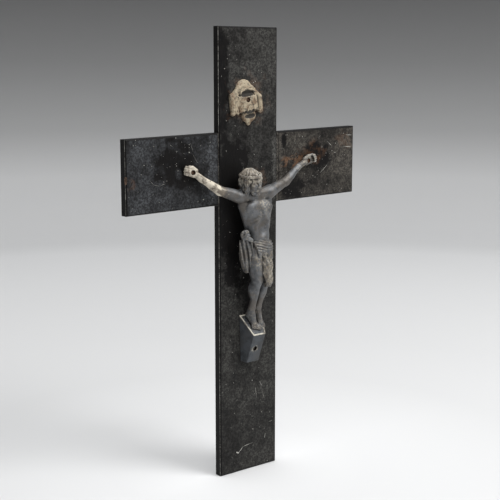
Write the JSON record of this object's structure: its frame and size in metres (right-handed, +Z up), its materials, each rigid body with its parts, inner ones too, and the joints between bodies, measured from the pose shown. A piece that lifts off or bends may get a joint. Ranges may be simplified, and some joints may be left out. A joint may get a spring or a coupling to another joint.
{
  "type": "wall crucifix",
  "caption": "Flat black wooden wall cross with a cast metal figure on a sloping foot ledge, a cast title scroll and iron nails.",
  "frame": {"origin": "on the flat back of the upright, behind the middle of the crossing, where the cross lies on its wall", "axes": "+Z up along the upright, +Y into the wall, +X to the right as seen from the front"},
  "size_m": [0.328, 0.0452, 0.52],
  "materials": {
    "ebonised_wood": "black stained and polished, dusty and worn",
    "cast_metal": "grey cast zinc with remains of cream paint, dirty",
    "worn_paint": "cream and tan paint, worn and flaking",
    "rusty_iron": "rusted"
  },
  "bodies": {
    "root": {"upright": "ebonised_wood", "arm_left": "ebonised_wood", "arm_right": "ebonised_wood", "corpus": "cast_metal", "title_scroll": "worn_paint", "nail_hand_left": "rusty_iron", "nail_hand_right": "rusty_iron", "nail_console": "rusty_iron", "nail_title": "rusty_iron"}
  },
  "joints": []
}
